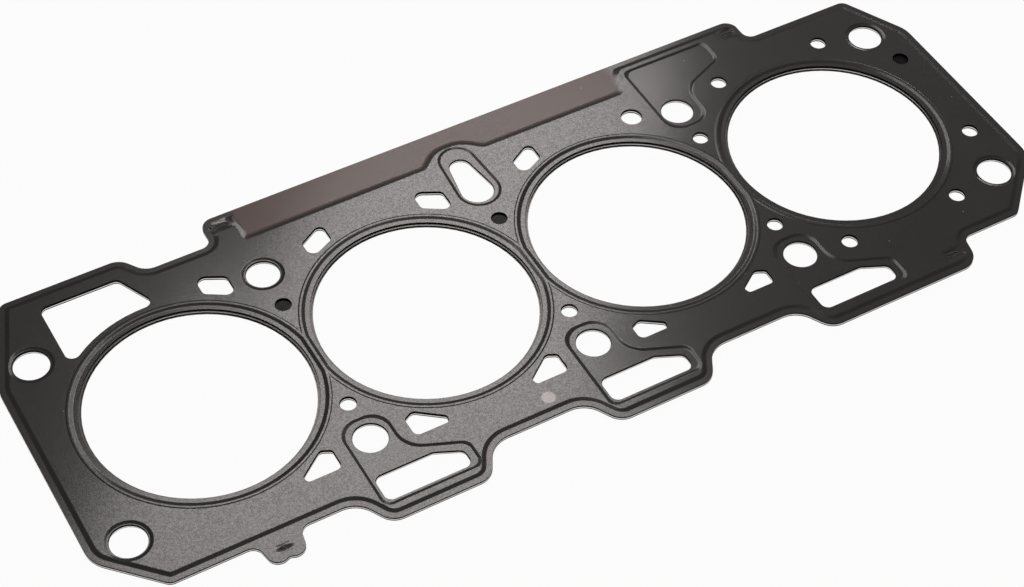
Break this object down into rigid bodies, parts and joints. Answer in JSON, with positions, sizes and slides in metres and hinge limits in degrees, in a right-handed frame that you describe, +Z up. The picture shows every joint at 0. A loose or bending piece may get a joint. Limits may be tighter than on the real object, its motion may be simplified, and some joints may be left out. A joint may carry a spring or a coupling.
{
  "type": "cylinder head gasket",
  "caption": "Multi-layer steel cylinder head gasket for a row of cylinders: two embossed coated sheets on a flat steel carrier, pierced for bolts, oil and coolant.",
  "frame": {"origin": "centre of the end head-bolt pattern on the bore row, halfway through the carrier sheet", "axes": "+X along the row of cylinders away from the window end, +Y towards the marking panel side, +Z up out of the top sheet"},
  "size_m": [0.393, 0.1554, 0.0024],
  "materials": {
    "coated_top": "semi-gloss elastomer coating on spring steel",
    "carrier_steel": "bare rolled steel",
    "coated_bottom": "semi-gloss elastomer coating on spring steel"
  },
  "bodies": {
    "root": {"top_layer": "coated_top", "carrier_layer": "carrier_steel", "bottom_layer": "coated_bottom"}
  },
  "joints": []
}
